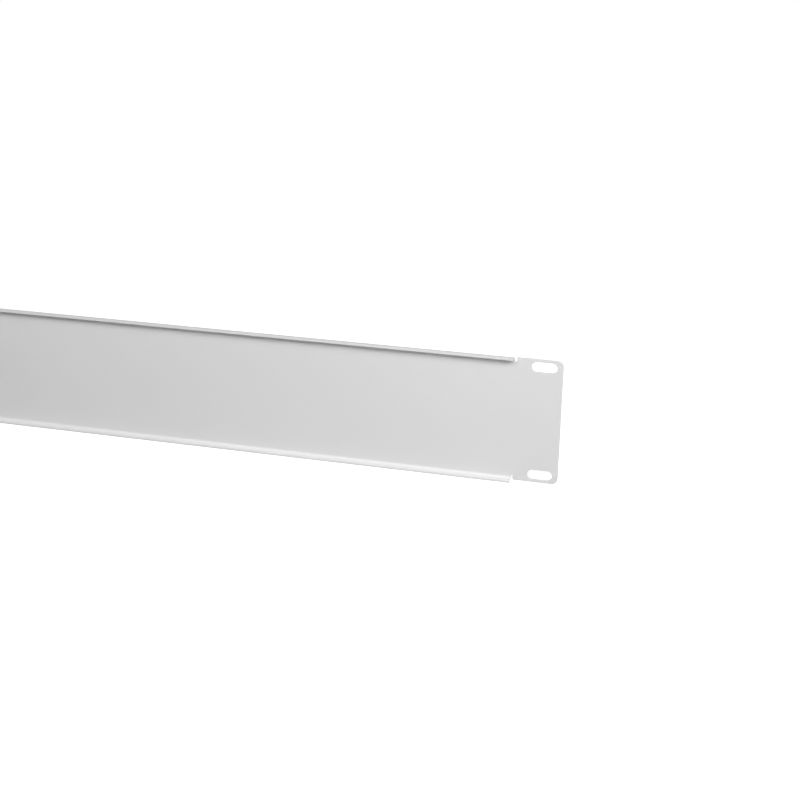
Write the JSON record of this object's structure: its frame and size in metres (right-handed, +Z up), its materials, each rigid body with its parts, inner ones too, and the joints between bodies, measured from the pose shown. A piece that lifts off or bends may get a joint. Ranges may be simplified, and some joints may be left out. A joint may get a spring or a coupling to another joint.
{
  "type": "rack blanking panel",
  "caption": "Flat folded-sheet cover for an empty rack space, flanged along top and bottom, with slotted mounting ears.",
  "frame": {"origin": "centre of the four mounting slots, on the rear face of the sheet, which meets the rack rails", "axes": "+X along the width, +Y from the front of the rack into it, the way the flanges point, +Z up"},
  "size_m": [0.4826, 0.0057, 0.0882],
  "materials": {
    "powder_coat": "light grey powder coat on folded steel sheet, fine satin texture"
  },
  "bodies": {
    "root": {"blanking_panel": "powder_coat"}
  },
  "joints": []
}
